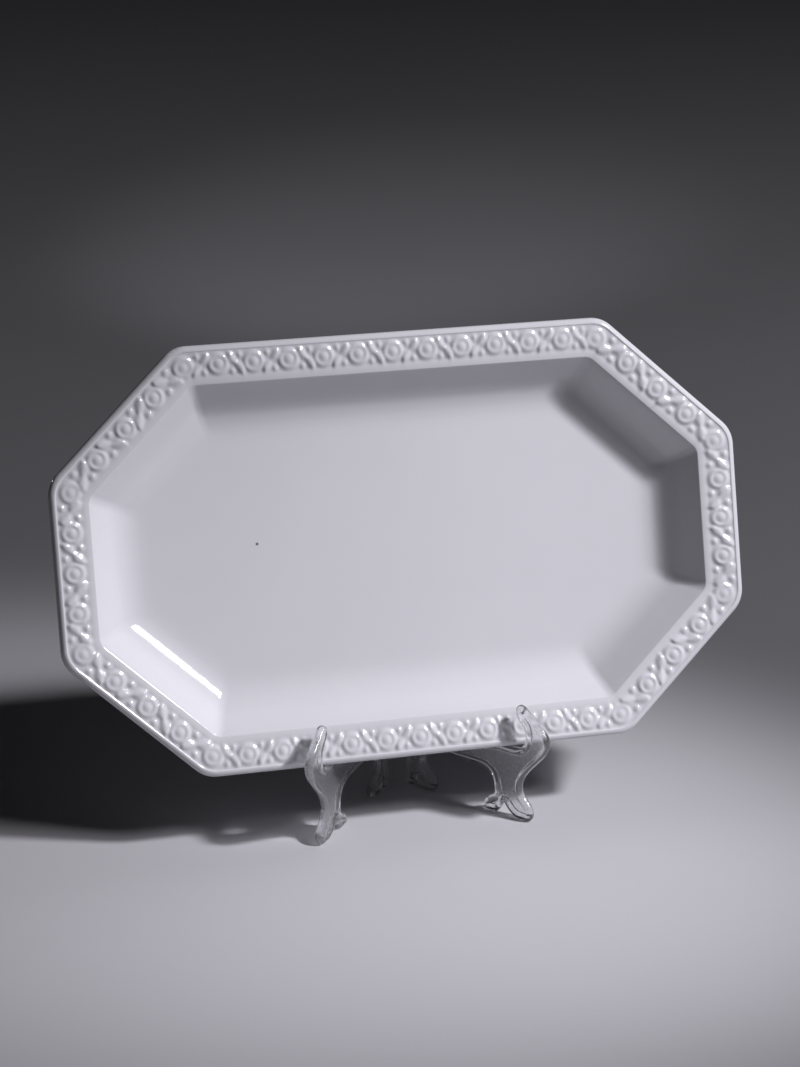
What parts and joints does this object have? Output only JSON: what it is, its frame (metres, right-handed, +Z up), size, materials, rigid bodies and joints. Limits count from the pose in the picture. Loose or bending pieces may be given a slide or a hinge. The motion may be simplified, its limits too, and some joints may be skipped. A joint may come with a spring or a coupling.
{
  "type": "serving platter on a folding stand",
  "caption": "Octagonal white porcelain serving platter with a relief band round its rim, leaning in a clear folding plate stand. It lifts out, and the hinged side frames then fold flat.",
  "frame": {"origin": "on the table, under the middle of the whole object's bounding box", "axes": "+X along the platter to the right as seen from the front, +Y to the back, +Z up"},
  "size_m": [0.33, 0.086, 0.2303],
  "materials": {
    "porcelain": "white glaze, high gloss",
    "clear_plastic": "clear and polished"
  },
  "bodies": {
    "stand": {"left_frame": "clear_plastic", "lower_hinge_pin": "clear_plastic", "upper_hinge_pin": "clear_plastic"},
    "folding_frame": {"right_frame": "clear_plastic"},
    "dish": {"platter": "porcelain"}
  },
  "joints": [
    {"name": "platter_lift", "type": "slide", "parent": "stand", "child": "dish", "axis": [0, 0.1392, 0.9903], "range_m": [0, 0.18]},
    {"name": "stand_fold", "type": "hinge", "parent": "stand", "child": "folding_frame", "pos_m": [0, 0.03012, 0.042], "axis": [0, 0, 1], "range_deg": [-74.6, 0]}
  ],
  "couplings": [
    {"joint": "stand_fold", "follows": "platter_lift", "rad_per_m": -7.22}
  ]
}
